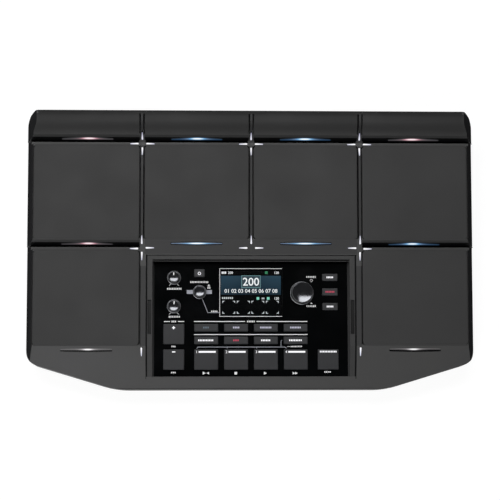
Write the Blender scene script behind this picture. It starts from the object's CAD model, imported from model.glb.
"""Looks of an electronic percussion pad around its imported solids. Metres, in the frame of the solids."""

import bpy
import numpy as np
from mathutils import Matrix


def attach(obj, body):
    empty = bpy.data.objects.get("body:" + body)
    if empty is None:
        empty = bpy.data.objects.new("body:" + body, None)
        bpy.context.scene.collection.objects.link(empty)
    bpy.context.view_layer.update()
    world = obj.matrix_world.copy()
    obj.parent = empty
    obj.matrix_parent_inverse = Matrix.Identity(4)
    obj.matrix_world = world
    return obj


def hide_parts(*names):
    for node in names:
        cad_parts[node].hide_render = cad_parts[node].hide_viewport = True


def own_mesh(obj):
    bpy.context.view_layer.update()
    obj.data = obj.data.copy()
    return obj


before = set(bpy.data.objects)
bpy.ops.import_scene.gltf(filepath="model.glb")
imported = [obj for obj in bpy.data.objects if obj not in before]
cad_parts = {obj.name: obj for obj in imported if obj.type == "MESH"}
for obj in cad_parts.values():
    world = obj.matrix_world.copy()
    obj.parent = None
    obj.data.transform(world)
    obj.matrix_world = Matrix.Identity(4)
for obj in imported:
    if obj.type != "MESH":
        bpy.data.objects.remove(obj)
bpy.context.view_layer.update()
scene = bpy.context.scene

# Sizes of the solids that the looks are built on, in millimetres and radians
MM = 0.001
HALF_W = 219.5
TILT, PANEL_TILT, APRON, BEVEL = np.radians((5.0, 3.0, 17.0, 55.0))
# Rows from the rear: 0 the bars, 1 the middle pads, 2 the front pads; each starts at its fold
FRONT_Z, ROW_PITCH, STEP = 48.0, 102.5, 2.2
FOLD_Y = np.array([111.5, 9.0, -93.5])
FOLD_Z = FRONT_Z + (ROW_PITCH * np.tan(TILT) + STEP) * np.array([2.0, 1.0, 0.0])
PAD_DEPTH, BAR_DEPTH = 93.5, 20.5
PLATEAU, BAR_LEN = PAD_DEPTH / np.cos(TILT), BAR_DEPTH / np.cos(TILT)
# Nose below a fold, and the sunk strip in front of it
NOSE_RUN, NOSE_DROP, STRIP_RUN, STRIP_SINK = 4.5, 5.0, 9.0, 3.3
NOSE = NOSE_DROP / NOSE_RUN
STRIP_Z = FOLD_Z + PLATEAU * np.sin(TILT) - STRIP_SINK
# Land that slopes down behind the panel
LAND_RUN, LAND_FOOT = 13.5, 89.0
LAND = (FOLD_Z[1] - FRONT_Z - LAND_FOOT * np.tan(TILT)) / LAND_RUN
# Rails between the columns, lights in front of the pads, and the edges of pads and bars
RAIL, RAIL_SIDE, LIGHT_PITCH, LENS_HALF = 106.7, 2.4, 106.7, 24.55
PAD_INSET, BAR_INSET, SEAM, PRESS = 7.0, 12.0, 0.8, 0.8
# Middle of the panel, its border and recess, and the keys above and below its face
PANEL_Y, PANEL_Z = -64.75, 40.629
BEZEL, BEZEL_GAP, RECESS, RECESS_REAR = 101.7, 0.6, 96.2, 82.75
KEY_TOP, KEY_FLANGE, KEY_STEM = 1.6, 3.15, 7.0
# Height of a thin cover over the solid that it lies on
SKIN = 0.05


def on_row(k, p):
    """Points along and square to the plane of row k: turned by the tilt about X, then moved to its fold."""
    c, s = np.cos(TILT), np.sin(TILT)
    return np.stack([p[..., 0], FOLD_Y[k] + p[..., 1] * c - p[..., 2] * s,
                     FOLD_Z[k] + p[..., 1] * s + p[..., 2] * c], -1)


def on_panel(p):
    """Points along and square to the panel: turned by its tilt about X, then moved to its middle."""
    c, s = np.cos(PANEL_TILT), np.sin(PANEL_TILT)
    return np.stack([p[..., 0], PANEL_Y + p[..., 1] * c - p[..., 2] * s,
                     PANEL_Z + p[..., 1] * s + p[..., 2] * c], -1)


def apron_z(y):
    """Height of the apron, which falls from the front fold at its own slope."""
    return FRONT_Z + (y - FOLD_Y[2]) * np.tan(APRON)


# Colour and materials

def linear(code):
    """An sRGB hex value as linear red, green, blue and full alpha."""
    c = np.array([int(code[i:i + 2], 16) for i in (1, 3, 5)]) / 255
    return (*np.where(c <= 0.04045, c / 12.92, ((c + 0.055) / 1.055) ** 2.4).tolist(), 1.0)


def add(tree, kind, sockets=None, **settings):
    """Adds a node with its settings; a socket given another node's output is linked, any other is set."""
    node = tree.nodes.new(kind)
    for name, value in settings.items():
        setattr(node, name, value)
    for name, value in (sockets or {}).items():
        if isinstance(value, bpy.types.NodeSocket):
            tree.links.new(value, node.inputs[name])
        else:
            node.inputs[name].default_value = value
    return node


def blank(name, **sockets):
    """A new material with its shader's own sockets set."""
    m = bpy.data.materials.new(name)
    m.use_nodes = True
    shader = m.node_tree.nodes["Principled BSDF"]
    for key, value in sockets.items():
        shader.inputs[key.replace("_", " ")].default_value = value
    return m, m.node_tree, shader


def grained(name, low, high, rough, grain, height, cloud, round_edge=0.0, steep=None, bevel_only=False,
            shaded=None, **sockets):
    """A moulded surface: colour drifts between two hex values over clouds of some millimetres, roughness
    drifts between two values with it, and a fine grain lifts the surface by its height. Edges may be
    softened by a radius. Steep faces may take a hex value of their own and lose their shine, or only bevels
    and not upright or front faces. The piece's own shade attribute may lead to a darker hex value. A mix of
    colours takes its share at socket 0 and its two colours at 6 and 7, and gives the result at output 2."""
    m, tree, shader = blank(name, **sockets)
    place = add(tree, "ShaderNodeTexCoord").outputs["Object"]
    drift = add(tree, "ShaderNodeTexNoise", {"Vector": place, "Scale": 1 / (cloud * MM), "Detail": 4.0})
    tint = add(tree, "ShaderNodeValToRGB", {"Fac": drift.outputs["Fac"]})
    for element, position, code in zip(tint.color_ramp.elements, (0.3, 0.7), (low, high)):
        element.position = position
        element.color = linear(code)
    base = tint.outputs["Color"]
    if shaded:
        share = add(tree, "ShaderNodeAttribute", attribute_name="shade").outputs["Fac"]
        mixed = {0: share, 6: base, 7: linear(shaded)}
        base = add(tree, "ShaderNodeMix", mixed, data_type="RGBA").outputs[2]
    gloss = add(tree, "ShaderNodeMapRange", {"Value": drift.outputs["Fac"], "From Min": 0.3, "From Max": 0.7,
                                             "To Min": rough[0], "To Max": rough[1]})
    tree.links.new(gloss.outputs["Result"], shader.inputs["Roughness"])
    fine = add(tree, "ShaderNodeTexNoise", {"Vector": place, "Scale": 1 / (grain * MM), "Detail": 2.0})
    bump = add(tree, "ShaderNodeBump",
               {"Height": fine.outputs["Fac"], "Distance": height * MM, "Strength": 1.0})
    if round_edge:
        soft = add(tree, "ShaderNodeBevel", {"Radius": round_edge * MM}, samples=4).outputs["Normal"]
        tree.links.new(soft, bump.inputs["Normal"])
    if steep:
        facing = add(tree, "ShaderNodeSeparateXYZ", {"Vector": soft}).outputs
        level = add(tree, "ShaderNodeMapRange", {"Value": facing["Z"], "From Min": 0.62, "From Max": 0.9})
        if bevel_only:
            for axis, start, end in (("Z", 0.3, 0.1), ("Y", -0.5, -0.9)):
                limits = {"Value": facing[axis], "From Min": start, "From Max": end}
                spared = add(tree, "ShaderNodeMapRange", limits)
                level = add(tree, "ShaderNodeMath", {0: level.outputs[0], 1: spared.outputs[0]},
                            operation="MAXIMUM")
        mixed = {0: level.outputs[0], 6: linear(steep), 7: base}
        base = add(tree, "ShaderNodeMix", mixed, data_type="RGBA").outputs[2]
        shine = add(tree, "ShaderNodeMath", {0: level.outputs[0], 1: 0.5}, operation="MULTIPLY")
        tree.links.new(shine.outputs[0], shader.inputs["Specular IOR Level"])
    tree.links.new(base, shader.inputs["Base Color"])
    tree.links.new(bump.outputs["Normal"], shader.inputs["Normal"])
    return m


def glowing(name, stops, strength, **sockets):
    """A lit diffuser: the piece's own glow attribute picks its colour from stops of place and hex value."""
    m, tree, shader = blank(name, Base_Color=linear("#08090a"), Roughness=0.35, Emission_Strength=strength,
                            **sockets)
    glow = add(tree, "ShaderNodeAttribute", attribute_name="glow")
    ramp = add(tree, "ShaderNodeValToRGB", {"Fac": glow.outputs["Fac"]})
    while len(ramp.color_ramp.elements) < len(stops):
        ramp.color_ramp.elements.new(0.5)
    for element, (position, code) in zip(ramp.color_ramp.elements, stops):
        element.position = position
        element.color = linear(code)
    tree.links.new(ramp.outputs["Color"], shader.inputs["Emission Color"])
    return m


def lit(name, code, strength=1.0):
    """An evenly lit mark on a screen or a key, over a dark ground."""
    return blank(name, Base_Color=linear("#0c0d0f"), Roughness=0.4, Emission_Color=linear(code),
                 Emission_Strength=strength)[0]


# Roughness from and to, size and height of the grain and size of the clouds, for finishes that share them
ABS = ((0.5, 0.6), 0.9, 0.012, 60)
RUBBER = ((0.62, 0.75), 1.1, 0.02, 45)
INK = ((0.5, 0.6), 0.6, 0.002, 4)
SHEEN = {"Sheen_Weight": 0.06, "Sheen_Roughness": 0.5}

# ABS moulded in a spark-eroded tool: matt, with a fine even grain; the grain is drawn coarse enough to show
CASE_ABS = grained("moulded_abs_case", "#3b3b3c", "#40403f", *ABS, round_edge=0.45, steep="#29292a",
                   bevel_only=True)
# The same ABS on the rails and the land behind the panel, which lie in a little more shade
RAIL_ABS = grained("moulded_abs_rail", "#353536", "#393939", *ABS, shaded="#101011", Specular_IOR_Level=0.35)
# The same ABS on the panel's border, in a darker shade
BORDER_ABS = grained("moulded_abs_border", "#292929", "#2d2d2d", *ABS, round_edge=0.45, steep="#060607")
# The border's ABS inside its scoops, where it falls into shade
SCOOP_ABS = grained("moulded_abs_scoop", "#292929", "#2d2d2d", *ABS, shaded="#070708",
                    Specular_IOR_Level=0.2)
# The same ABS on the upright walls of the recess, which catch light from the far side
WALL_ABS = grained("moulded_abs_wall", "#525253", "#565656", *ABS, shaded="#101011", Specular_IOR_Level=0.35)
# The same ABS on the lower shell, moulded in a darker colour
BASE_ABS = grained("moulded_abs_base", "#242425", "#2a2a2b", (0.55, 0.65), 0.9, 0.015, 60, round_edge=0.45)
# Silicone rubber pressed against a blasted plate: very matt, a little cloudy, with a faint sheen
PAD_RUBBER = grained("pressed_silicone_rubber", "#2c2c2c", "#303030", *RUBBER, **SHEEN)
# The same rubber on the bars, which lie a little darker and fall into shade towards their rear edge
BAR_RUBBER = grained("pressed_silicone_bar", "#262626", "#2a2a2a", *RUBBER, shaded="#0c0c0c",
                     Specular_IOR_Level=0.4, **SHEEN)
# Gasket rubber along the rails: black and dull, so that the gaps read as shadow
GASKET = grained("extruded_gasket_rubber", "#0a0a0b", "#101011", (0.7, 0.8), 0.6, 0.01, 10,
                 Specular_IOR_Level=0.12)
# Foot rubber: black, dull and slightly pitted
FOOT_RUBBER = grained("moulded_foot_rubber", "#131314", "#1b1b1c", (0.75, 0.9), 0.8, 0.03, 8)
# Satin painted silicone key caps: an even grey with a soft shine
KEY_PAINT = grained("satin_painted_key", "#212225", "#252629", (0.42, 0.5), 0.7, 0.006, 12,
                    Specular_IOR_Level=0.4)
# Cast acrylic sheet printed black on its back: deep black with a clear polished face and faint finger marks
PANEL_ACRYLIC = grained("black_backed_acrylic", "#010202", "#030405", (0.05, 0.12), 6.0, 0.0005, 30,
                        IOR=1.49)
# Smoked acrylic strip over the lights: nearly black, with a soft polish
SMOKED_ACRYLIC = grained("smoked_acrylic", "#030304", "#050506", (0.25, 0.35), 3.0, 0.001, 20,
                         Specular_IOR_Level=0.12)
# Knob bodies: black ABS with a satin grip
KNOB_ABS = grained("satin_knob_abs", "#101113", "#17181a", (0.35, 0.45), 0.5, 0.006, 6)
# Knob tops: black chrome on turned brass, which mirrors the lamps darkly
KNOB_CHROME = grained("black_chrome", "#4c4d50", "#545558", (0.1, 0.16), 2.5, 0.0004, 8, Metallic=0.85)
# Polished edges of the knobs: a pale line where the turning tool has broken the corner
KNOB_EDGE = grained("polished_knob_edge", "#98999d", "#a4a5a9", (0.3, 0.4), 1.0, 0.001, 6, Metallic=0.5)
# Socket bodies: glass-filled nylon, dull black
SOCKET_NYLON = grained("glass_filled_nylon", "#161718", "#1f2022", (0.5, 0.65), 0.6, 0.01, 6)
# Zinc plated steel of nuts, screws, shafts and shields: pale metal with a brushed haze
ZINC = grained("zinc_plated_steel", "#a9abae", "#c0c2c6", (0.25, 0.4), 0.8, 0.003, 5, Metallic=1.0)
# Turned brass of the stand inserts: warm yellow metal with a faint haze from the tool
BRASS = grained("turned_brass", "#a98245", "#c39a58", (0.25, 0.38), 0.6, 0.003, 5, Metallic=1.0)
# Circuit board: green solder mask over copper, glossy with a woven ground
BOARD = grained("green_solder_mask", "#12492c", "#1d6a40", (0.25, 0.35), 1.2, 0.01, 15)
# Printed sensing film, polyester with a carbon ink: smooth amber with a soft gloss
FILM = grained("printed_polyester_film", "#7d6334", "#96783f", (0.3, 0.4), 2.0, 0.002, 20)
# Open cell polyurethane foam: grey and porous, without any shine
FOAM = grained("open_cell_foam", "#4a4d51", "#5c6065", (0.85, 0.95), 1.2, 0.2, 6)
# Acetal of the plungers: waxy and pale
ACETAL = grained("moulded_acetal", "#d2ccbe", "#ddd8cb", (0.3, 0.4), 1.0, 0.002, 6)
# Screen glass over the display: dark, even and polished
SCREEN = grained("screen_polariser", "#020304", "#040506", (0.2, 0.25), 2.0, 0.0004, 15,
                 Specular_IOR_Level=0.1)
# Cast acrylic window over the screen: clear and polished, so that little but its shine shows
WINDOW = blank("clear_acrylic_window", Base_Color=linear("#0a0c0e"), Roughness=0.05, IOR=1.49, Alpha=0.14)[0]
# Screen printing inks: white and grey, slightly raised and matt
WHITE_INK = grained("white_printing_ink", "#f0f0f0", "#fafafa", *INK)
GREY_INK = grained("grey_printing_ink", "#9a9ca6", "#a8aab4", *INK)

# Diffusers lit from below: blue, rose and pale strips with a white heart, and lavender white slits
BLUE_GLOW = glowing("blue_lit_diffuser", (
    (0.0, "#040608"), (0.15, "#1f3c58"), (0.28, "#5b7290"), (0.5, "#62a4d6"), (0.75, "#c4e6fa"),
    (1.0, "#ffffff")), 1.0)
ROSE_GLOW = glowing("rose_lit_diffuser", (
    (0.0, "#060506"), (0.15, "#434144"), (0.3, "#705b61"), (0.5, "#b98692"), (0.75, "#e8c4cc"),
    (1.0, "#fbeef1")), 1.0)
PALE_GLOW = glowing("pale_lit_diffuser", (
    (0.0, "#040404"), (0.2, "#5f5d5e"), (0.4, "#9c989a"), (0.7, "#dad6d9"), (1.0, "#ffffff")), 1.0)
SLIT_GLOW = glowing("lavender_lit_diffuser", (
    (0.0, "#2c2c3c"), (0.35, "#9494b0"), (0.7, "#e8e8f4"), (1.0, "#ffffff")), 1.0)
BAND_GLOW = glowing("slate_screen_band", ((0.0, "#0a1821"), (0.5, "#1a3342"), (1.0, "#2c4a5b")), 1.0,
                    Specular_IOR_Level=0.1)
# Lit marks of the screen and the keys
SCREEN_WHITE = lit("white_screen_mark", "#f4f8fa", 1.25)
SCREEN_GREY = lit("grey_screen_mark", "#d5dce0")
SCREEN_MINT = lit("mint_screen_mark", "#8fe8d0")
SCREEN_GREEN = lit("green_screen_mark", "#1f8a5a", 0.9)
SCREEN_BOX = lit("boxed_screen_ground", "#1c3a46", 0.9)
SCREEN_LINE = lit("teal_screen_line", "#7fb0b4", 0.9)
KEY_WHITE = lit("white_key_light", "#fbfbff", 1.05)
KEY_LILAC = lit("lilac_key_light", "#c9c9dc", 0.85)
KEY_RED = lit("red_key_light", "#be3250", 0.9)
KEY_DIM = lit("dim_key_light", "#6d7f8c", 0.6)


# Meshes

def weave(rows, cols, closed=True):
    """Quads of a grid of points numbered row by row; closed joins the last column to the first."""
    i = np.arange(rows - 1)[:, None]
    j = np.arange(cols if closed else cols - 1)[None, :]
    a, b = i * cols + j, i * cols + (j + 1) % cols
    return np.stack([a, b, b + cols, a + cols], -1).reshape(-1, 4).tolist()


def lids(rows, cols):
    """Two faces that close the first and the last row of a grid whose columns are joined."""
    last = (rows - 1) * cols
    return [list(range(cols))[::-1], list(range(last, last + cols))]


def turned_over(faces):
    """The same faces, seen from their other side."""
    return [f[::-1] for f in faces]


def side_name(side):
    """Letter for the left (below zero) or right side."""
    return "r" if side > 0 else "l"


def piece(name, points, faces, finish, body, replaces=None, sharp=35.0, glow=None, shade=None):
    """A piece from points in millimetres, smooth but for edges sharper than an angle, tied to its body."""
    mesh = bpy.data.meshes.new(name)
    mesh.from_pydata((np.asarray(points).reshape(-1, 3) * MM).tolist(), [], faces)
    for key, values in (("glow", glow), ("shade", shade)):
        if values is not None:
            data = mesh.attributes.new(key, "FLOAT", "POINT").data
            data.foreach_set("value", np.ravel(values).astype(np.float32))
    mesh.materials.append(finish)
    mesh.shade_smooth()
    mesh.set_sharp_from_angle(angle=np.radians(sharp))
    made = bpy.data.objects.new(name, mesh)
    scene.collection.objects.link(made)
    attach(made, body)
    if replaces:
        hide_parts(replaces)
    return made


# Points round one corner of a rounded rectangle, and round the whole
PER_CORNER = 7
ROUND = 4 * PER_CORNER


def ring(w, h, r):
    """Points round a rectangle with round corners, counter-clockwise: a quarter circle at each corner."""
    a = np.radians(np.linspace(0, 90, PER_CORNER))
    corners = ((1, 1, 0), (-1, 1, 90), (-1, -1, 180), (1, -1, 270))
    return np.concatenate([
        np.stack([sx * (w / 2 - r) + r * np.cos(a + np.radians(t)),
                  sy * (h / 2 - r) + r * np.sin(a + np.radians(t))], -1)
        for sx, sy, t in corners])


def eased(w, h, r, top, edge, steps=6, ends=None):
    """Rings of a rounded top edge: drawn in by edge times one minus cosine, raised by edge times sine; the
    two ends in Y may be drawn in by a smaller edge."""
    t = np.radians(np.linspace(0, 90, steps))
    share = 1 - np.cos(t)
    return [(w - 2 * edge * d, h - 2 * (ends or edge) * d, max(r - edge * d, 0.15), top - edge + edge * s)
            for d, s in zip(share, np.sin(t))]


def stack(levels, cx=0.0, cy=0.0):
    """A closed block from rounded rectangles one above another, each by two sides, corner and height."""
    rings = [np.column_stack([ring(w, h, r) + (cx, cy), np.full(ROUND, z)]) for w, h, r, z in levels]
    return np.array(rings), weave(len(rings), ROUND) + lids(len(rings), ROUND)


def turned(profile, cx, cy, count=96, flutes=0, depth=0.0, span=(0.0, 0.0)):
    """A turned form: radius and height carried round the axis. Inside a span of heights the radius is drawn
    in by depth times a raised cosine of the flutes. The first and the last ring are closed."""
    r, z = np.array(profile).T
    a = np.linspace(0, 2 * np.pi, count, endpoint=False)
    inside = ((z > span[0]) & (z < span[1]))[:, None]
    radius = r[:, None] - inside * depth * (0.5 + 0.5 * np.cos(flutes * a))[None, :] ** 2
    points = np.stack(np.broadcast_arrays(cx + radius * np.cos(a), cy + radius * np.sin(a), z[:, None]), -1)
    return points, weave(len(z), count) + lids(len(z), count)


# Rubber strike pads: round-cornered plates with an eased top edge, in their wells
def column(i, inset):
    """Left and right edge of the pad in column i: a rail's side, or the side of the case less an inset."""
    return (-HALF_W + inset if i == 0 else (i - 2) * RAIL + RAIL_SIDE,
            HALF_W - inset if i == 3 else (i - 1) * RAIL - RAIL_SIDE)


PAD_Y = (SEAM, PLATEAU - 1.1)
PAD_FOOT, PAD_CORNER, PAD_EDGE, PAD_END, PAD_FIELD = -4.9, 3.0, 0.8, 0.25, 2.0
# row and column of each strike pad
PADS = ((1, 0), (1, 1), (1, 2), (1, 3), (2, 0), (2, 3))
for number, (k, i) in enumerate(PADS, 1):
    x0, x1 = column(i, PAD_INSET)
    w, h = x1 - x0, PAD_Y[1] - PAD_Y[0]
    levels = [(w, h, PAD_CORNER, PAD_FOOT)]
    levels += eased(w, h, PAD_CORNER, 0.0, PAD_EDGE, ends=PAD_END)
    levels.append((w - 2 * PAD_FIELD, h - 2 * PAD_FIELD, 2.0, 0.0))
    block, faces = stack(levels, (x0 + x1) / 2, sum(PAD_Y) / 2)
    piece(f"pad_rubber_{number}", on_row(k, block), faces, PAD_RUBBER, f"strike_pad_{number}",
          f"strike_pad_{number}")

# Ridged rubber bars: a section with a lip, a smooth rise and a round rear edge, carried along X, ends eased
BAR_LIP, BAR_RUN, BAR_RISE, BAR_FOOT = 1.5, 11.5, 5.0, -5.0


def bar_top(y):
    """Height of a bar above its row: a flat lip, then a half cosine rise of 5 mm over 11.5 mm."""
    return BAR_RISE * (1 - np.cos(np.pi * np.clip((y - BAR_LIP) / BAR_RUN, 0, 1))) / 2


def bar_section():
    """Y and Z of a bar's section from front foot over the ridge to rear foot, with quarter circles at
    the front and rear edges."""
    front, rear = 0.25, 0.5
    a = np.radians(np.linspace(0, 90, 7))
    y = np.linspace(SEAM + front, BAR_LEN - rear, 40)
    return np.concatenate([
        [[SEAM, BAR_FOOT]],
        np.column_stack([SEAM + front - front * np.cos(a), -front + front * np.sin(a)]),
        np.column_stack([y, bar_top(y)])[1:],
        np.column_stack([BAR_LEN - rear + rear * np.sin(a), BAR_RISE - rear + rear * np.cos(a)])[1:],
        [[BAR_LEN, BAR_FOOT]]])


def bar_shade(y):
    """Darkening of a bar towards its rear edge: a bell curve of some 2.5 mm."""
    return 0.8 * np.exp(-((BAR_LEN - y) / 2.5) ** 2)


END_EDGE, END_STEPS = 0.8, 6
for i in range(4):
    x0, x1 = column(i, BAR_INSET)
    section = bar_section()
    t = np.radians(np.linspace(0, 90, END_STEPS))
    inwards, lowered = END_EDGE * (1 - np.cos(t)), END_EDGE * (1 - np.sin(t))
    along = np.concatenate([x0 + inwards, x1 - inwards[::-1]])
    draw = np.concatenate([lowered, lowered[::-1]])[:, None]
    foot = section[None, :, 1] <= BAR_FOOT + 0.01
    rows, cols = 2 * END_STEPS, len(section)
    y = np.broadcast_to(section[None, :, 0], (rows, cols))
    z = np.where(foot, BAR_FOOT, section[None, :, 1] - draw)
    block = np.stack([np.broadcast_to(along[:, None], y.shape), y, z], -1)
    faces = turned_over(weave(rows, cols) + lids(rows, cols))
    piece(f"bar_rubber_{i + 1}", on_row(0, block), faces, BAR_RUBBER, f"bar_pad_{i + 1}",
          f"bar_pad_{i + 1}", shade=bar_shade(y))

# Foam under each pad and bar: die-cut blocks with bulging sides, which flatten as the rubber goes down
FOAM_TOP, FOAM_FOOT, FOAM_INSET, FOAM_BULGE, FOAM_CORNER = -5.03, -8.0, 4.0, 0.3, 1.5
FOAMS = [(f"bar_pad_{i + 1}", 0, column(i, BAR_INSET), (SEAM, BAR_LEN)) for i in range(4)]
FOAMS += [(f"strike_pad_{number}", k, column(i, PAD_INSET), PAD_Y) for number, (k, i) in enumerate(PADS, 1)]
for above, k, (x0, x1), (y0, y1) in FOAMS:
    w, h = x1 - x0 - 2 * FOAM_INSET, y1 - y0 - 2 * FOAM_INSET
    levels = [(w + FOAM_BULGE * np.sin(np.pi * s), h + FOAM_BULGE * np.sin(np.pi * s), FOAM_CORNER,
               FOAM_FOOT + (FOAM_TOP - FOAM_FOOT) * s) for s in np.linspace(0, 1, 7)]
    cx, cy = (x0 + x1) / 2, (y0 + y1) / 2
    block, faces = stack(levels, cx, cy)
    foam = piece(above.replace("_pad", "_foam"), on_row(k, block), faces, FOAM, "case", "pad_foams")
    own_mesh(foam)


def strip(name, line, x0, x1, finish, slot, shade=None):
    """A trim: a broken line of Y and Z, listed from rear to front, carried straight from one X to another.
    Each end may be one X or an X for each point. A shade is one value, or one for each point."""
    y, z = np.array(line, float).T
    share = np.linspace(0, 1, 9)[None, :]
    x = np.reshape(x0, (-1, 1)) * (1 - share) + np.reshape(x1, (-1, 1)) * share
    grid = np.stack(np.broadcast_arrays(x, y[:, None], z[:, None]), -1)
    if shade is not None:
        shade = np.broadcast_to(np.reshape(shade, (-1, 1)), grid.shape[:2])
    return piece(name, grid, turned_over(weave(len(y), 9, closed=False)), finish, "case", shade=shade)


def row_line(k, p):
    """Y and Z of points along and square to the plane of row k."""
    return on_row(k, np.array([(0.0, *q) for q in p]))[:, 1:]


def side_edge(k, line):
    """How far from the middle the side bevel cuts points of Y and Z: the edge of the pads, drawn in by the
    height above the plane of row k over the tangent of the bevel."""
    y, z = np.array(line, float).T
    n = (z - FOLD_Z[k]) * np.cos(TILT) - (y - FOLD_Y[k]) * np.sin(TILT)
    return HALF_W - PAD_INSET - n / np.tan(BEVEL) - 0.1


def ends(k, i, inset, line):
    """Left and right end of a trim in column i: the pad's own edge, or the side bevel at an outer column."""
    x0, x1 = column(i, inset)
    return -side_edge(k, line) if i == 0 else x0, side_edge(k, line) if i == 3 else x1


def nose_line(k, d):
    """Y and Z at distances in front of fold k, down the nose and just above it."""
    return np.column_stack([FOLD_Y[k] - d - SKIN, FOLD_Z[k] - d * NOSE + SKIN])


# Rubber lips that carry the bars and outer pads over their folds, and smoked strips below them in the steps
LIP_START, LIP_END, LAP, SEATED = 0.25, 1.9, 0.5, 0.02
GUTTER, GUTTER_DEEP, GUTTER_RIM, STRIP_END = 1.65, 3.9, 0.2, 4.0
front_lip = [(SEAM + LAP, SEATED), (SEAM + LAP - 0.1, SKIN), (0.4, SKIN), (0.0, SKIN)]
for k, i in ((0, 0), (0, 1), (0, 2), (0, 3), (1, 0), (1, 3)):
    inset, rubber = (PAD_INSET, PAD_RUBBER) if k else (BAR_INSET, BAR_RUBBER)
    lip = np.concatenate([row_line(k, front_lip), nose_line(k, np.linspace(LIP_START, LIP_END, 4))])
    strip(f"fold_lip_{k}_{i}", lip, *ends(k, i, inset, lip), rubber, "pad_rubber")
    step_y, step_z = FOLD_Y[k] - NOSE_RUN, STRIP_Z[k + 1]
    smoked = np.concatenate([nose_line(k, np.linspace(LIP_END, NOSE_RUN, 5)),
                             [(step_y - SKIN, step_z - GUTTER_DEEP), (step_y - GUTTER, step_z - GUTTER_DEEP),
                              (step_y - GUTTER, step_z - GUTTER_RIM)]])
    x0, x1 = ends(k, i, inset, smoked)
    x0, x1 = np.maximum(x0, -HALF_W + STRIP_END), np.minimum(x1, HALF_W - STRIP_END)
    strip(f"smoked_strip_{k}_{i}", smoked, x0, x1, SMOKED_ACRYLIC, "case_plastic")

# Rubber sills that close the seams in front of and behind the other pad edges
SILL_INSET = 1.2
rear_lip = [(PLATEAU, SKIN), (PAD_Y[1] - LAP + 0.1, SKIN), (PAD_Y[1] - LAP, SEATED)]
for number, (k, i) in enumerate(PADS, 1):
    x0, x1 = column(i, PAD_INSET)
    x0, x1 = x0 + SILL_INSET, x1 - SILL_INSET
    strip(f"rear_sill_{number}", row_line(k, rear_lip), x0, x1, PAD_RUBBER, "pad_rubber")
    if (k, i) not in ((1, 0), (1, 3)):
        strip(f"front_sill_{number}", row_line(k, front_lip), x0, x1, PAD_RUBBER, "pad_rubber")

# Rubber cheeks that carry the outer bars on to the side bevel, and the dark trim over the rear edge
y = np.linspace(BAR_LEN - 0.4, 1.2, 30)
line = row_line(0, np.column_stack([y, bar_top(y) + SKIN]))
for side in (-1, 1):
    x = [side * (HALF_W - BAR_INSET - 0.9), side * side_edge(0, line)][::side]
    strip(f"bar_cheek_{side_name(side)}", line, *x, BAR_RUBBER, "pad_rubber", bar_shade(y))
REAR_Y, REAR_R, REAR_END, REAR_SHADE = 132.0, 3.0, 12.0, 0.8
REAR_TOP = FOLD_Z[0] + BAR_DEPTH * np.tan(TILT) + BAR_RISE * np.cos(TILT)
a = np.radians(np.linspace(20, 90, 9))
r = REAR_R + SKIN
line = np.concatenate([np.column_stack([REAR_Y + r * np.cos(a), REAR_TOP - REAR_R + r * np.sin(a)]),
                       row_line(0, [(BAR_LEN - 0.5, BAR_RISE + SKIN), (BAR_LEN - 0.6, BAR_RISE + SEATED)])])
strip("rear_trim", line, -HALF_W + REAR_END, HALF_W - REAR_END, BAR_RUBBER, "pad_rubber", REAR_SHADE)

# Light bars: eye-shaped lenses, crowned across, lying on the nose, the slope behind the panel or the apron
EYE_HALF, EYE_BULGE, EYE_TIP, EYE_DEEP, ACROSS = 0.62, 0.46, 0.44, 1.0, 11


def eye(cx, k, offset, slope, height, crown, grow=0.0):
    """Points of an eye-shaped plate and its shares along and across. Its half width is 0.62 mm and a bulge
    of 0.46 mm times one minus u squared, closed by round ends, all larger by a growth. On the nose it arches
    by the same bulge, so that its front edge is straight. It stands at a height on its slope, crowns by a
    share of its half width, and its edges go down by 1 mm."""
    a = np.radians(np.linspace(5, 90, 5))
    run = np.linspace(-1, 1, 61)
    tip = (EYE_TIP + grow / 2) / LENS_HALF
    u = np.concatenate([-1 - tip * np.cos(a), run[1:-1], 1 + tip * np.cos(a[::-1])])[:, None]
    bulge = EYE_BULGE * (1 - np.clip(u, -1, 1) ** 2)
    half = EYE_HALF + grow + bulge
    half[:len(a), 0] *= np.sin(a)
    half[-len(a):, 0] *= np.sin(a[::-1])
    v = np.concatenate([[-1.0], np.linspace(-1, 1, ACROSS), [1.0]])[None, :]
    low = np.zeros(ACROSS + 2)
    low[[0, -1]] = EYE_DEEP
    y = FOLD_Y[k] - offset + v * half + (bulge if slope == NOSE else 0.0)
    z = FOLD_Z[k] + (y - FOLD_Y[k]) * slope + height + crown * (1 - v ** 2) * half - low[None, :]
    return np.stack(np.broadcast_arrays(cx + LENS_HALF * u, y, z), -1), u, v


def heart_glow(u, v, shine, middle, spread, core, heart_at):
    """Glow of a lens: a faint band of a shine along a middle line with a spread across, and a bright heart
    at a place along it that is a bell curve across and two along, the wider one twice the core."""
    s = (u - heart_at) / core
    heart = 0.45 * np.exp(-(s / 2) ** 2) + 0.75 * np.exp(-s ** 2)
    band = shine * np.exp(-((v - middle) / spread) ** 2)
    return np.clip(band + heart * np.exp(-(v / 0.6) ** 2), 0, 1)


# row, column, distance from the fold, slope, shine, middle and spread of the shine, length of the heart
LENSES = [(0, i, 3.55, NOSE, 0.15, -0.4, 0.7, 0.22) for i in range(4)]
LENSES += [(1, i, 3.5, NOSE, 0.17, -0.5, 0.55, 0.2) for i in (0, 3)]
LENSES += [(1, i, 3.4, LAND, 0.28, 0.0, 0.45, 0.26) for i in (1, 2)]
LENSES += [(2, i, 3.4, np.tan(APRON), 0.26, 0.4, 0.45, 0.15) for i in (0, 3)]
LENS_HEIGHT, LENS_CROWN, SEAL_HEIGHT = 0.16, 0.2, 0.06
# the hearts lie nearer the middle than the lenses by a hundredth of their distance
HEART_SHIFT = 0.01
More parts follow.
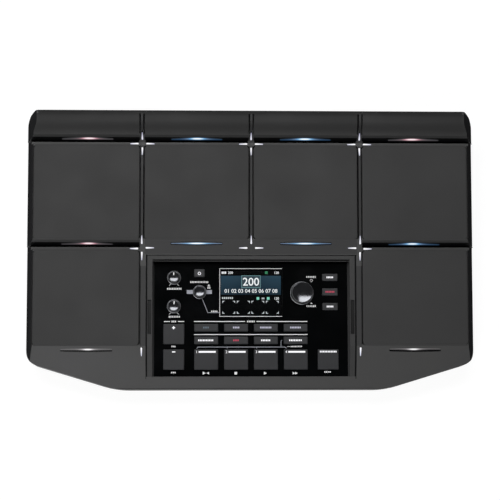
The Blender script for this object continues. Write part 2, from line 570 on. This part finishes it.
# how far a lens's black seal reaches past it and how far it is drawn forward, on the land and the apron
SEALS = {1: (0.65, 0.0), 2: (0.5, 0.8)}
for number, (k, i, offset, slope, *light) in enumerate(LENSES, 1):
    cx = (i - 1.5) * LIGHT_PITCH
    points, u, v = eye(cx, k, offset, slope, LENS_HEIGHT, LENS_CROWN)
    glow = heart_glow(u, v, *light, -HEART_SHIFT * cx / LENS_HALF)
    if k == 2:
        colour = PALE_GLOW
    elif i in (1, 2) or (k, i) == (1, 3):
        colour = BLUE_GLOW
    else:
        colour = ROSE_GLOW
    faces = weave(*points.shape[:2], closed=False)
    piece(f"light_bar_{number}", points, faces, colour, "case", "pad_light_bars", glow=glow)
    if slope != NOSE:
        reach, forward = SEALS[k]
        seal = eye(cx, k, offset + forward, slope, SEAL_HEIGHT, 0.0, reach)[0]
        piece(f"light_seal_{number}", seal, faces, SMOKED_ACRYLIC, "case")

# Star slits: tapered diffusers with round ends, laid along the rails and strips
RAIL_LOW, RAIL_HIGH, RAIL_RISE, STRIP_FLAT, RAIL_BACK = 9.5, 4.5, 0.79, 2.8, 30.0
RAIL_REAR = np.array([
    (FOLD_Y[0] - STRIP_RUN - RAIL_LOW * np.cos(TILT), FOLD_Z[1] + (PLATEAU - RAIL_LOW) * np.sin(TILT)),
    (FOLD_Y[0] - STRIP_RUN, STRIP_Z[1]),
    (FOLD_Y[0] - STRIP_RUN + STRIP_FLAT, STRIP_Z[1] + STRIP_FLAT * np.tan(TILT)),
    (FOLD_Y[0] + RAIL_HIGH * np.cos(TILT), FOLD_Z[0] + RAIL_HIGH * np.sin(TILT) + RAIL_RISE)])
RAIL_MID = np.array([
    (FOLD_Y[2], FRONT_Z), (FOLD_Y[1] - LAND_RUN, FOLD_Z[1] - LAND_RUN * LAND), (FOLD_Y[1], FOLD_Z[1]),
    (FOLD_Y[1] + RAIL_BACK, FOLD_Z[1] + RAIL_BACK * np.tan(TILT))])
SLIT_NEAR, SLIT_FAR, SLIT_SHORT, SLIT_WIDE, SLIT_THIN, SLIT_ACROSS = 4.5, 11.5, 9.6, 0.8, 0.4, 5


def slit(cx, cy, angle, height, dim, far=SLIT_FAR):
    """Points and glow of a slit: half width falls from 0.8 to 0.4 mm between two round ends, height gives
    the surface under each point, and the glow fades towards the tip."""
    t = np.radians(np.linspace(4, 90, 6))
    run, taper = np.linspace(SLIT_NEAR, far, 9)[1:-1], np.linspace(SLIT_WIDE, SLIT_THIN, 9)[1:-1]
    s = np.concatenate([SLIT_NEAR - SLIT_WIDE * np.cos(t), run, far + SLIT_THIN * np.cos(t[::-1])])[:, None]
    half = np.concatenate([SLIT_WIDE * np.sin(t), taper, SLIT_THIN * np.sin(t[::-1])])[:, None]
    v = np.concatenate([[-1.0], np.linspace(-1, 1, SLIT_ACROSS), [1.0]])[None, :]
    low = np.zeros(SLIT_ACROSS + 2)
    low[[0, -1]] = 1.0
    c, d = np.cos(np.radians(angle)), np.sin(np.radians(angle))
    x, y = cx + s * c - half * v * d, cy + s * d + half * v * c
    z = height(y) + 0.22 + 0.12 * (1 - v ** 2) - low[None, :]
    fade = np.clip(1.1 - 0.5 * (s - SLIT_NEAR) / (far - SLIT_NEAR), 0, 1)
    return np.stack([x, y, z], -1), dim * fade * (0.8 + 0.2 * (1 - v ** 2))


def strip_height(k):
    """Height of the strip behind row k at a place: it rises by the tilt from its front edge."""
    return lambda y: STRIP_Z[k] + (y - FOLD_Y[k - 1] + STRIP_RUN) * np.tan(TILT)


def line_height(line):
    """Height along a broken line of places and heights, straight from point to point."""
    return lambda y: np.interp(y, line[:, 0], line[:, 1])


STAR_AHEAD, APRON_STAR = 7.6, 2.2
slits = []
for i in (-1, 0, 1):
    x = i * RAIL
    y = FOLD_Y[0] - STAR_AHEAD
    slits += [slit(x, y, angle, strip_height(1), 1.0) for angle in (0, 180)]
    slits.append(slit(x, y, 90, line_height(RAIL_REAR), 0.7, SLIT_SHORT))
    slits.append(slit(x, y, 270, line_height(RAIL_REAR), 1.0))
    y = FOLD_Y[1] - STAR_AHEAD
    for angle, side in ((0, 1), (180, -1)):
        slits.append(slit(x, y, angle, strip_height(2) if i == side else line_height(RAIL_MID), 1.0))
    slits.append(slit(x, y, 90, line_height(RAIL_MID), 0.9))
    if i:
        slits.append(slit(x, y, 270, line_height(RAIL_MID), 1.0))
        slits.append(slit(x, FOLD_Y[2] + APRON_STAR, 270, apron_z, 1.0))
slit_rows, slit_cols = slits[0][0].shape[:2]
one_slit = np.array(weave(slit_rows, slit_cols, closed=False))
starts = slit_rows * slit_cols * np.arange(len(slits))
faces = (one_slit[None] + starts[:, None, None]).reshape(-1, 4).tolist()
piece("star_slits", np.stack([points for points, glow in slits]), faces, SLIT_GLOW, "case",
      "star_light_guides", glow=np.stack([glow for points, glow in slits]))

# Black gaskets along both edges of each rail, where it runs between pads or bars
RAIL_IN, RAIL_OUT, GASKET_DEEP, GASKET_LIFT, COVER_LIFT = 1.02, 1.53, 1.6, 0.04, 0.03


def rail_line(place, lift, front=0.4):
    """Y and Z along a rail at a small lift: it follows the bars, and it is straight between the pads."""
    if place == "bars":
        y = np.linspace(BAR_LEN - 0.6, 4.6, 24)
        return row_line(0, np.column_stack([y, bar_top(y) + lift]))
    if place == "pads":
        return row_line(1, [(PLATEAU - 9.6, lift), (front, lift)])
    return row_line(2, [(PLATEAU - 16.0, lift), (front, lift)])


for i in (-1, 0, 1):
    runs = [("bars", (-1, 1)), ("pads", (-1, 1))]
    if i:
        runs.append(("front", (i,)))
    for place, sides in runs:
        line = rail_line(place, GASKET_LIFT)
        for side in sides:
            x = i * RAIL + np.array([RAIL_IN, RAIL_OUT, RAIL_OUT]) * side
            z = line[:, 1:] - np.array([0.0, 0.0, GASKET_DEEP])
            grid = np.stack(np.broadcast_arrays(x[None, :], line[:, :1], z), -1)
            faces = weave(len(line), 3, closed=False)
            piece(f"rail_gasket_{place}_{i + 2}_{side_name(side)}", grid,
                  turned_over(faces) if side > 0 else faces, GASKET, "case")

# Rails between the pads and the bars, and the land behind the panel, each with its own shade
for i in (-1, 0, 1):
    for place, dim in (("bars", 0.55), ("pads", 0.42)):
        strip(f"rail_{place}_{i + 2}", rail_line(place, COVER_LIFT), i * RAIL - RAIL_IN, i * RAIL + RAIL_IN,
              RAIL_ABS, "case_plastic", dim)
for side in (-1, 1):
    x = sorted((side * (BEZEL + BEZEL_GAP), side * (RAIL + RAIL_IN)))
    line = rail_line("front", COVER_LIFT, 0.1)
    strip(f"rail_front_{side_name(side)}", line, *x, RAIL_ABS, "case_plastic", 0.18)
LAND_REAR, LAND_FRONT, LAND_HALF = FOLD_Y[1] - 0.2, FOLD_Y[1] - 13.4, RAIL - 3.0
line = [(y, FOLD_Z[1] + (y - FOLD_Y[1]) * LAND + COVER_LIFT) for y in (LAND_REAR, LAND_FRONT)]
strip("land_cover", line, -LAND_HALF, LAND_HALF, RAIL_ABS, "case_plastic", 0.0)

# Seams at the sides of the border, its dark lip behind the panel, its scoops and the walls of the recess
SEAM_REAR, SEAM_FRONT = PLATEAU - 5.0, -124.9
for side, start, reach in ((-1, -0.5, 1.5), (1, -0.4, 1.6)):
    x = sorted((side * (BEZEL + start), side * (BEZEL + start + reach)))
    line = np.concatenate([row_line(2, [(SEAM_REAR, SKIN), (0.0, SKIN)]),
                           [(SEAM_FRONT, apron_z(SEAM_FRONT) + SKIN)]])
    strip(f"border_seam_{side_name(side)}", line, *x, GASKET, "case_plastic")
lip_y = RECESS_REAR - SKIN
line = row_line(2, [(RECESS_REAR + 1.5, SKIN), (lip_y, SKIN), (lip_y, -1.5)])
strip("recess_lip", line, -RECESS, RECESS, SMOKED_ACRYLIC, "case_plastic")
SCOOP_X, SCOOP_Y, SCOOP_N = np.array([97.25, 100.65]), (11.5, 44.5), -1.55
# the wall of the recess by its places along the panel, with its top there
WALL_Y, WALL_TOP = np.array([-58.0, -28.8, 53.7]), np.array([0.2, 8.0, 10.9])
# side, shade of the scoop in front and behind, foot of the wall and its shade
for side, scoop_dim, foot, wall_dim in ((-1, (0.6, 0.3), 1.4, 0.0), (1, (0.9, 0.55), 1.2, 0.2)):
    x, y = np.meshgrid(sorted(side * SCOOP_X), SCOOP_Y)
    scoop = on_row(2, np.stack([x, y, np.full((2, 2), SCOOP_N)], -1))
    piece(f"scoop_floor_{side_name(side)}", scoop, weave(2, 2, closed=False), SCOOP_ABS, "case",
          shade=np.repeat(scoop_dim, 2))
    upper = np.stack([np.full(3, side * (RECESS - SKIN)), WALL_Y, WALL_TOP], -1)
    lower = np.stack([np.full(3, side * (RECESS - foot)), WALL_Y, np.full(3, COVER_LIFT)], -1)
    wall = np.stack([upper, lower][::side], 1)
    piece(f"recess_wall_{side_name(side)}", on_panel(wall), turned_over(weave(3, 2, closed=False)), WALL_ABS,
          "case", shade=np.full(6, wall_dim))

# Front sill of the panel, flush with the apron
SILL_FRONT, SILL_REAR, SILL_HALF = -125.15, -122.55, 102.2
rear_z = apron_z(SILL_REAR)
line = [(SILL_REAR, rear_z - 2.2), (SILL_REAR, rear_z - 0.1), (SILL_REAR - 0.15, rear_z + SKIN),
        (SILL_FRONT, apron_z(SILL_FRONT) + SKIN)]
strip("panel_sill", line, -SILL_HALF, SILL_HALF, CASE_ABS, "case_plastic")

# Key caps: stem, flange and a cap with an eased edge; each key by its middle on the panel, width and height
KEYS = {"power_button": (-50.6, 43.4, 10.2, 7.8), "kit_up_button": (-75.5, -16.4, 20.5, 19.8),
        "kit_down_button": (-75.5, -41.3, 20.5, 19.8), "mute_button": (75.5, -41.3, 20.5, 19.8)}
KEY_PITCH, SIDE_PITCH = 29.2, 14.4
KEYS |= {f"side_button_{i + 1}": (77.8, 24.9 + (1 - i) * SIDE_PITCH, 15.3, 7.3) for i in range(3)}
for kind, y, h in (("mode", -10.2, 7.4), ("loop", -22.6, 7.4), ("track", -41.3, 19.8)):
    KEYS |= {f"{kind}_button_{i + 1}": ((i - 1.5) * KEY_PITCH, y, 23.4, h) for i in range(4)}
STEM, FLANGE_T, FLANGE_OUT, KEY_CORNER, KEY_EDGE = 3.0, 1.0, 2.0, 0.8, 0.45
for name, (x, y, w, h) in KEYS.items():
    flange_foot = -KEY_FLANGE - FLANGE_T
    levels = [(STEM, STEM, 1.49, -KEY_STEM), (STEM, STEM, 1.49, flange_foot),
              (w + FLANGE_OUT, h + FLANGE_OUT, KEY_CORNER, flange_foot),
              (w + FLANGE_OUT, h + FLANGE_OUT, KEY_CORNER, -KEY_FLANGE), (w, h, KEY_CORNER, -KEY_FLANGE)]
    levels += eased(w, h, KEY_CORNER, KEY_TOP, KEY_EDGE, 5)
    levels.append((w - 1.5, h - 1.5, 0.3, KEY_TOP))
    block, faces = stack(levels, x, y)
    piece(name.replace("_button", "_key"), on_panel(block), faces, KEY_PAINT, name, name)

# Knobs: a skirt, a fluted grip and a dished top of black chrome
# middle on the panel, radius of skirt and top, depth of the dish, count of flutes, turn of the pointer
KNOBS = {"main_volume": (-75.5, 38.8, 6.7, 5.5, 0.55, 30, 0),
         "phones": (-75.5, 10.7, 6.7, 5.5, 0.55, 30, -10),
         "metronome": (-50.4, 24.7, 6.7, 5.5, 0.55, 30, None),
         "value": (50.0, 23.8, 11.4, 10.4, 0.95, 48, None)}
KNOB_TOP, SHAFT_R, FLUTE_DEEP, FLUTE_SPAN = 12.9, 3.05, 0.28, (3.5, 11.9)
POINTER_HALF, KNOB_SHARP = 0.55, 50.0


def dish(r, rim, depth):
    """Height of a knob's dished top at a radius: a parabola that is deepest in the middle."""
    return KNOB_TOP - 0.1 - depth * (1 - (r / rim) ** 2)


for name, (x, y, skirt, top, depth, flutes, pointer) in KNOBS.items():
    rim = top - 0.8
    # skirt, fluted side and rounded shoulder of the grip, which closes under the cap with a flat floor
    grip = [(SHAFT_R, 0.9), (skirt - 0.3, 0.9), (skirt, 1.2), (skirt, 2.0), (skirt - 0.45, 2.2)]
    grip += [(top + 0.55 - 0.06 * s, 3.4 + 0.86 * s) for s in range(10)]
    grip += [(top - 0.12, 12.25), (top - 0.3, 12.65), (top - 0.6, 12.85), (rim, KNOB_TOP)]
    floor_z = KNOB_TOP - depth - 0.6
    grip += [(rim, floor_z), (0.3, floor_z)]
    points, faces = turned(grip, x, y, flutes=flutes, depth=FLUTE_DEEP, span=FLUTE_SPAN)
    piece(f"{name}_grip", on_panel(points), faces, KNOB_ABS, name, f"{name}_knob",
          sharp=KNOB_SHARP)
    inner = np.linspace(rim - 0.05, 0.02, 24)
    r = np.concatenate([[rim + 0.12, rim + 0.12, rim + 0.1, rim], inner])
    edge_z = [floor_z + 0.2, KNOB_TOP - 0.25, KNOB_TOP - 0.02, KNOB_TOP]
    z = np.concatenate([edge_z, dish(inner, rim, depth)])
    points, faces = turned(np.column_stack([r, z]), x, y)
    piece(f"{name}_cap", on_panel(points), faces, KNOB_CHROME, name, sharp=KNOB_SHARP)
    # polished rings without their lids
    for place, line in (("top", [(top - 0.06, 12.32), (top - 0.2, 12.6), (top - 0.34, 12.76)]),
                        ("skirt", [(skirt + 0.02, 2.03), (skirt - 0.2, 2.14), (skirt - 0.42, 2.23)])):
        points, faces = turned(line, x, y)
        piece(f"{name}_{place}_edge", on_panel(points), faces[:-2], KNOB_EDGE, name,
              sharp=KNOB_SHARP)
    if pointer is not None:
        s = np.linspace(1.4, rim - 0.5, 8)[:, None]
        v = np.array([-POINTER_HALF, POINTER_HALF])[None, :]
        a = np.radians(90 + pointer)
        flat = np.stack([x + s * np.cos(a) + v * np.sin(a), y + s * np.sin(a) - v * np.cos(a),
                         dish(np.hypot(s, v), rim, depth) + 0.04], -1)
        piece(f"{name}_pointer", on_panel(flat), turned_over(weave(8, 2, closed=False)), WHITE_INK, name)


# Flat marks: prints on the panel and the keys, and the picture of the screen
def bar(x0, x1, y0, y1):
    """A rectangle between a left and a right edge, and a lower and an upper one."""
    return np.array([(x0, y0), (x1, y0), (x1, y1), (x0, y1)], float)


def stroke(points, width):
    """A broken line of a width: one rectangle for each stretch, longer by half the width at both ends."""
    p = np.array(points, float)
    a, b = p[:-1], p[1:]
    d = (b - a) / np.linalg.norm(b - a, axis=1, keepdims=True) * width / 2
    n = np.stack([-d[:, 1], d[:, 0]], -1)
    return list(np.stack([a - d - n, b + d - n, b + d + n, a - d + n], 1))


def arrow(x, y, reach, half):
    """A triangle that points along X: its foot at a place, with a reach and a half width."""
    return np.array([(x, y + half), (x, y - half), (x + reach, y)], float)


def peak(x, y, half, rise):
    """A triangle that points up: its foot at a place, with a half width and a rise."""
    return np.array([(x - half, y), (x + half, y), (x, y + rise)], float)


def hoop(cx, cy, r0, r1, count=24):
    """A flat hoop between two circles, as quads."""
    a = np.linspace(0, 2 * np.pi, count + 1)
    c = np.stack([np.cos(a), np.sin(a)], -1)
    m = np.array([cx, cy])
    return list(np.stack([m + r0 * c[:-1], m + r1 * c[:-1], m + r1 * c[1:], m + r0 * c[1:]], 1))


def ticks(x0, x1, y, height, pitch=1.55):
    """A row of small blocks in place of a word: one for each pitch, with the gaps of lettering."""
    n = max(2, round((x1 - x0) / pitch))
    at = np.linspace(x0, x1, n + 1)[:-1]
    step = (x1 - x0) / n
    return [bar(a + 0.12 * step, a + 0.82 * step, y - height / 2, y + height / 2) for a in at]


def numeral(text, cx, cy, height, bold=0.0):
    """Outline of plain figures as filled polygons: the built-in font, its strokes widened by a share of its
    size, made a mesh and scaled to a height."""
    curve = bpy.data.curves.new("figures", "FONT")
    curve.offset = bold
    curve.body, curve.align_x, curve.align_y, curve.resolution_u = text, "CENTER", "CENTER", 3
    holder = bpy.data.objects.new("figures", curve)
    flat = holder.to_mesh()
    p = np.empty(3 * len(flat.vertices), np.float32)
    flat.vertices.foreach_get("co", p)
    p = p.reshape(-1, 3)[:, :2].astype(float)
    low, high = p.min(0), p.max(0)
    p = (p - (low + high) / 2) * height / (high[1] - low[1]) + (cx, cy)
    out = [p[list(f.vertices)] for f in flat.polygons]
    holder.to_mesh_clear()
    bpy.data.objects.remove(holder)
    bpy.data.curves.remove(curve)
    return out


def marks(name, polygons, n, finish, body, glow=None):
    """Lays flat polygons on the panel at a height n above it, turned so that they face up."""
    faces, start = [], 0
    for p in polygons:
        x, y = p.T
        turn = np.dot(x, np.roll(y, -1)) - np.dot(y, np.roll(x, -1))
        order = list(range(start, start + len(p)))
        faces.append(order if turn > 0 else order[::-1])
        start += len(p)
    p = np.concatenate(polygons)
    points = on_panel(np.column_stack([p, np.full(len(p), n)]))
    return piece(name, points, faces, finish, body, glow=None if glow is None else glow(p))


# White print: rules over the keys, rows of blocks in place of words, and small signs
PRINT = 0.03
RULES = ((-85.3, -79.3, -4.1), (-71.5, -65.3, -4.1), (-55.8, -5.9, -4.1), (5.5, 55.3, -4.1),
         (-55.8, 55.5, -16.9))
RULE_HALF = 0.4
# left, right, middle, height and pitch of the blocks
WORDS = (
    (-78, -73, -4.1, 1.7, 1.55), (-4, 4, -4.1, 1.7, 1.55), (-82.6, -67.9, 28.0, 1.8, 1.55),
    (-80.8, -69.3, 0.6, 1.8, 1.55), (-59.8, -41.6, 34.6, 1.7, 1.55), (54.4, 64.3, 39.8, 1.7, 1.55),
    (54.4, 64.0, 11.0, 1.7, 1.55), (-43.0, -39.4, 28.9, 1.3, 1.8), (-39.2, -32.6, 5.9, 1.3, 1.6),
    (38.6, 50.2, -28.6, 1.3, 1.5), (35.6, 38.0, -28.6, 0.7, 1.2), (-77.9, -73.6, -28.5, 1.4, 1.55),
    (-78.2, -73.2, -53.9, 1.4, 1.55), (71.4, 78.3, -53.4, 1.4, 1.55))
white = [bar(x0, x1, y - RULE_HALF, y + RULE_HALF) for x0, x1, y in RULES]
for word in WORDS:
    white += ticks(*word)
white += [peak(-41.3, 31.0, 1.3, 1.6), bar(-42.6, -40.0, 30.2, 30.7), peak(59.5, 13.2, 1.3, 1.6)]
white += hoop(59.6, 36.3, 0.95, 1.4)
# transport signs: skip, stop, play and wind
white += [arrow(-46.6, -54.5, 2.6, 1.3), arrow(-41.0, -54.5, -2.6, 1.3), bar(-47.1, -46.6, -55.8, -53.2)]
white += [bar(-16.2, -13.6, -55.9, -53.3), arrow(12.6, -54.6, 3.0, 1.5)]
white += [arrow(40.6, -54.65, 2.6, 1.35), arrow(43.2, -54.65, 2.6, 1.35)]
# scale ends below the two pots
for pot in ("main_volume", "phones"):
    x, y = KNOBS[pot][:2]
    for side in (-1, 1):
        white += stroke([(x + side * 3.2, y - 6.3), (x + side * 4.6, y - 7.6)], 0.55)
marks("panel_print", white, PRINT, WHITE_INK, "case")

# Grey print: lines that lead from knobs and keys to their words, and two boxes beside the small encoder
grey = stroke([(-48.2, 19.2), (-42.3, 4.6), (-31.2, 4.6)], 0.55)
grey += stroke([(-52.9, -30.3), (-52.0, -29.1), (33.2, -29.1), (34.5, -30.2)], 0.6)
grey += [bar(-23.6, -23.0, -30.3, -29.1), bar(5.3, 5.9, -30.3, -29.1)]
grey += stroke([(30.2, -22.4), (29.4, -23.4), (29.4, -29.1)], 0.5)
marks("panel_print_grey", grey, PRINT, GREY_INK, "case")
boxes = [bar(-63.0, -56.4, 23.0, 26.8), bar(-44.4, -38.3, 23.0, 26.8)]
marks("panel_print_boxes", boxes, PRINT, GREY_INK, "case")
frame_line = stroke([(30.4, 48.0), (-30.6, 48.0), (-30.6, 0.9), (30.4, 0.9)], 0.48)
marks("window_print", frame_line, PRINT, WHITE_INK, "case")

# Marks on the keys, which travel with them
CAP = KEY_TOP + 0.03
for i in range(4):
    body = f"track_button_{i + 1}"
    x, y = KEYS[body][:2]
    light = [bar(x - 7.4, x + 9.3, y + 6.6, y + 8.3)]
    marks(f"track_light_{i + 1}", light, CAP, KEY_WHITE, body)
    figure = numeral(str(i + 1), x - 9.4, y + 7.45, 2.5)
    marks(f"track_figure_{i + 1}", figure, CAP, KEY_WHITE, body)
KEY_SIGNS = (("kit_up", [bar(-77.2, -74.2, -10.8, -9.8), bar(-76.2, -75.2, -11.8, -8.8)]),
             ("kit_down", [bar(-77.1, -73.9, -34.4, -33.3)]), ("power", hoop(-50.6, 43.0, 1.0, 1.55)))
for kind, sign in KEY_SIGNS:
    marks(f"{kind}_sign", sign, CAP, KEY_WHITE, f"{kind}_button")
# key, left and right end of the row of blocks, its middle and its light
KEY_WORDS = (
    ("mode_button_1", -47.0, -41.1, -10.1, KEY_DIM), ("mode_button_2", -17.8, -11.2, -10.1, KEY_LILAC),
    ("mode_button_3", 8.8, 20.1, -10.1, KEY_LILAC), ("mode_button_4", 38.2, 49.0, -10.1, KEY_LILAC),
    ("loop_button_1", -51.8, -36.7, -22.6, KEY_WHITE), ("loop_button_2", -17.6, -11.8, -22.6, KEY_RED),
    ("loop_button_3", 9.7, 19.0, -22.6, KEY_WHITE), ("loop_button_4", 37.2, 49.9, -22.6, KEY_WHITE),
    ("side_button_1", 74.3, 81.2, 39.3, KEY_WHITE), ("side_button_2", 73.2, 82.4, 25.0, KEY_RED),
    ("side_button_3", 74.3, 81.2, 10.5, KEY_WHITE), ("mute_button", 67.2, 84.0, -33.7, KEY_WHITE))
for body, x0, x1, y, finish in KEY_WORDS:
    marks(body.replace("_button", "_word"), ticks(x0, x1, y, 1.7, 1.5), CAP, finish, body)

# Picture of the screen, on the face of the display below the window, in layers of a hundredth
FACE, LAYER = -2.97, 0.01
BAND_LEFT, BAND_STEP, BAND_LOW, BAND_RISE = -29.7, 5.94, 22.4, 4.7
band = [bar(BAND_LEFT + BAND_STEP * i, BAND_LEFT + BAND_STEP * (i + 1),
            BAND_LOW + BAND_RISE * j, BAND_LOW + BAND_RISE * (j + 1)) for i in range(10) for j in range(4)]


def band_glow(p):
    """Glow of the screen's band: it grows from bottom to top, and a bell curve dims its middle."""
    return np.clip(0.35 + 0.6 * (p[:, 1] - BAND_LOW) / 18.9 - 0.25 * np.exp(-(p[:, 0] / 14) ** 2), 0, 1)


marks("screen_band", band, FACE, BAND_GLOW, "case", band_glow)
box = bar(-9.0, 9.4, 29.4, 41.2)
marks("screen_box", [box], FACE + LAYER, SCREEN_BOX, "case")
outline = stroke([*box, box[0]], 0.45)
marks("screen_line", outline, FACE + 2 * LAYER, SCREEN_LINE, "case")
mint = [bar(5.7, 8.3, 17.5, 20.1), bar(15.9, 18.5, 17.5, 20.1)]
marks("screen_mint", mint, FACE + 2 * LAYER, SCREEN_MINT, "case")
# text, place, height and boldness
FIGURES = (
    ("200", 0.2, 35.3, 8.0, 0.01), ("01 02 03 04 05 06 07 08", 0.2, 26.2, 3.8, 0.008),
    ("120", 25.6, 44.2, 2.4, 0.012), ("120", 25.6, 18.8, 2.4, 0.012), ("200", -20.0, 44.2, 2.4, 0.012))
figures = [polygon for figure in FIGURES for polygon in numeral(*figure)]
figures += ticks(-28.9, -24.0, 44.2, 2.2, 1.7)
marks("screen_white", figures, FACE + 3 * LAYER, SCREEN_WHITE, "case")
# four frames shown by their corners: a corner's arms are 2.5 mm long and narrow from 0.8 mm at their root
corner = np.array([(0.0, 0.0), (2.5, 0.0), (1.2, 0.8), (0.8, 1.2), (0.0, 2.5)])
corners = []
for x0, x1 in ((-28.0, -15.5), (-13.7, -1.0), (0.6, 13.1), (14.9, 27.5)):
    corners += [corner * (sx, sy) + (x, y)
                for x, sx in ((x0, 1), (x1, -1)) for y, sy in ((3.8, 1), (16.4, -1))]
corners += ticks(-28.6, -17.2, 19.2, 1.8, 1.8) + ticks(10.6, 13.6, 18.8, 1.6, 1.3)
marks("screen_corners", corners, FACE + 2 * LAYER, SCREEN_GREY, "case")
marks("screen_green", [bar(14.0, 16.8, 43.0, 45.6)], FACE + 2 * LAYER, SCREEN_GREEN, "case")
# Black print inside the window's rim
rim = stroke([(30.5, 47.5), (-30.5, 47.5), (-30.5, 1.3), (30.5, 1.3), (30.5, 47.5)], 0.9)
marks("window_rim", rim, -0.9, PANEL_ACRYLIC, "case")

# Finishes of the solids that stay
FINISHES = (
    (CASE_ABS, ("top_case",)), (BORDER_ABS, ("panel_bezel",)), (BASE_ABS, ("bottom_case", "rear_panel")),
    (PANEL_ACRYLIC, ("panel_fascia",)), (WINDOW, ("display_window",)), (SCREEN, ("display_module",)),
    (BOARD, ("panel_board", "main_board")),
    (ZINC, ("key_switches", "rotary_bodies", "usb_socket", "screws_and_nuts")),
    (SOCKET_NYLON, ("audio_jacks", "dc_inlet")), (FILM, ("pad_sensors",)), (FOOT_RUBBER, ("rubber_feet",)),
    (BRASS, ("stand_inserts",)), (ZINC, tuple(f"{knob}_shaft" for knob in KNOBS)),
    (ACETAL, ("metronome_plunger", "value_plunger")))
for finish, names in FINISHES:
    for name in names:
        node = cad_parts[name]
        node.data.materials.clear()
        node.data.materials.append(finish)

# Stage: a white sweep that keeps a faint shadow
floor = bpy.data.meshes.new("floor")
floor.from_pydata([(-8, -8, 0), (8, -8, 0), (8, 8, 0), (-8, 8, 0)], [], [(0, 1, 2, 3)])
paper = bpy.data.materials.new("white_paper_sweep")
paper.use_nodes = True
tree = paper.node_tree
tree.nodes.clear()
path = add(tree, "ShaderNodeLightPath").outputs
seen = add(tree, "ShaderNodeMath", {0: path["Is Camera Ray"], 1: path["Is Glossy Ray"]}, operation="MAXIMUM")
seen = add(tree, "ShaderNodeMath", {0: seen.outputs[0], 1: path["Is Transmission Ray"]}, operation="MAXIMUM")
bounce = add(tree, "ShaderNodeBsdfDiffuse", {"Color": (0.8, 0.8, 0.8, 1)})
shadow = add(tree, "ShaderNodeBsdfDiffuse", {"Color": (0.16, 0.16, 0.16, 1)})
white_light = add(tree, "ShaderNodeEmission", {"Color": (1, 1, 1, 1), "Strength": 0.92})
pale = add(tree, "ShaderNodeAddShader", {0: shadow.outputs[0], 1: white_light.outputs[0]})
both = add(tree, "ShaderNodeMixShader", {0: seen.outputs[0], 1: bounce.outputs[0], 2: pale.outputs[0]})
add(tree, "ShaderNodeOutputMaterial", {"Surface": both.outputs[0]})
floor.materials.append(paper)
sweep = bpy.data.objects.new("floor", floor)
scene.collection.objects.link(sweep)

# Studio: pale walls under a dark ceiling, a broad lamp behind and above, and a softer one in front
world = bpy.data.worlds.new("studio")
world.use_nodes = True
scene.world = world
tree = world.node_tree
up = add(tree, "ShaderNodeSeparateXYZ", {"Vector": add(tree, "ShaderNodeTexCoord").outputs["Generated"]})
room = add(tree, "ShaderNodeValToRGB", {"Fac": up.outputs["Z"]})
walls, ceiling = (0.1, (0.2, 0.2, 0.203, 1)), (0.8, (0.03, 0.03, 0.032, 1))
for element, (position, colour) in zip(room.color_ramp.elements, (walls, ceiling)):
    element.position = position
    element.color = colour
tree.links.new(room.outputs["Color"], tree.nodes["Background"].inputs["Color"])


def lamp(name, place, size, power):
    """A rectangular lamp aimed at the middle of the object: its third axis points back from there."""
    data = bpy.data.lights.new(name, "AREA")
    data.shape, data.size, data.size_y, data.energy = "RECTANGLE", size[0], size[1], power
    made = bpy.data.objects.new(name, data)
    scene.collection.objects.link(made)
    back = np.array(place) - (0, 0, 0.05)
    back = back / np.linalg.norm(back)
    side = np.cross((0, 1, 0), back)
    side /= np.linalg.norm(side)
    axes = np.column_stack([side, np.cross(back, side), back])
    made.matrix_world = Matrix([[*axes[i], place[i]] for i in range(3)] + [[0, 0, 0, 1]])


lamp("rear_softbox", (-0.15, 0.42, 1.4), (1.0, 0.38), 11)
lamp("front_softbox", (-0.45, -0.95, 1.25), (1.2, 0.7), 9)

# Camera, solved from the outline of the case: focal length in pixels, place in metres, turns about Z, Y, X
FOCAL, PIXELS, SENSOR = 1323.87, 500, 36
CAMERA_AT = (-0.04175, -0.21402, 1.33175)
TURNS = (("Z", -0.003688), ("Y", -0.031185), ("X", 0.165957))
view = bpy.data.cameras.new("camera")
view.lens, view.sensor_width, view.clip_end = FOCAL / PIXELS * SENSOR, SENSOR, 20
camera = bpy.data.objects.new("camera", view)
scene.collection.objects.link(camera)
turn = Matrix.Identity(3)
for axis, angle in TURNS:
    turn = turn @ Matrix.Rotation(angle, 3, axis)
camera.matrix_world = Matrix.Translation(CAMERA_AT) @ turn.to_4x4()
scene.camera = camera
scene.view_settings.view_transform = "Standard"
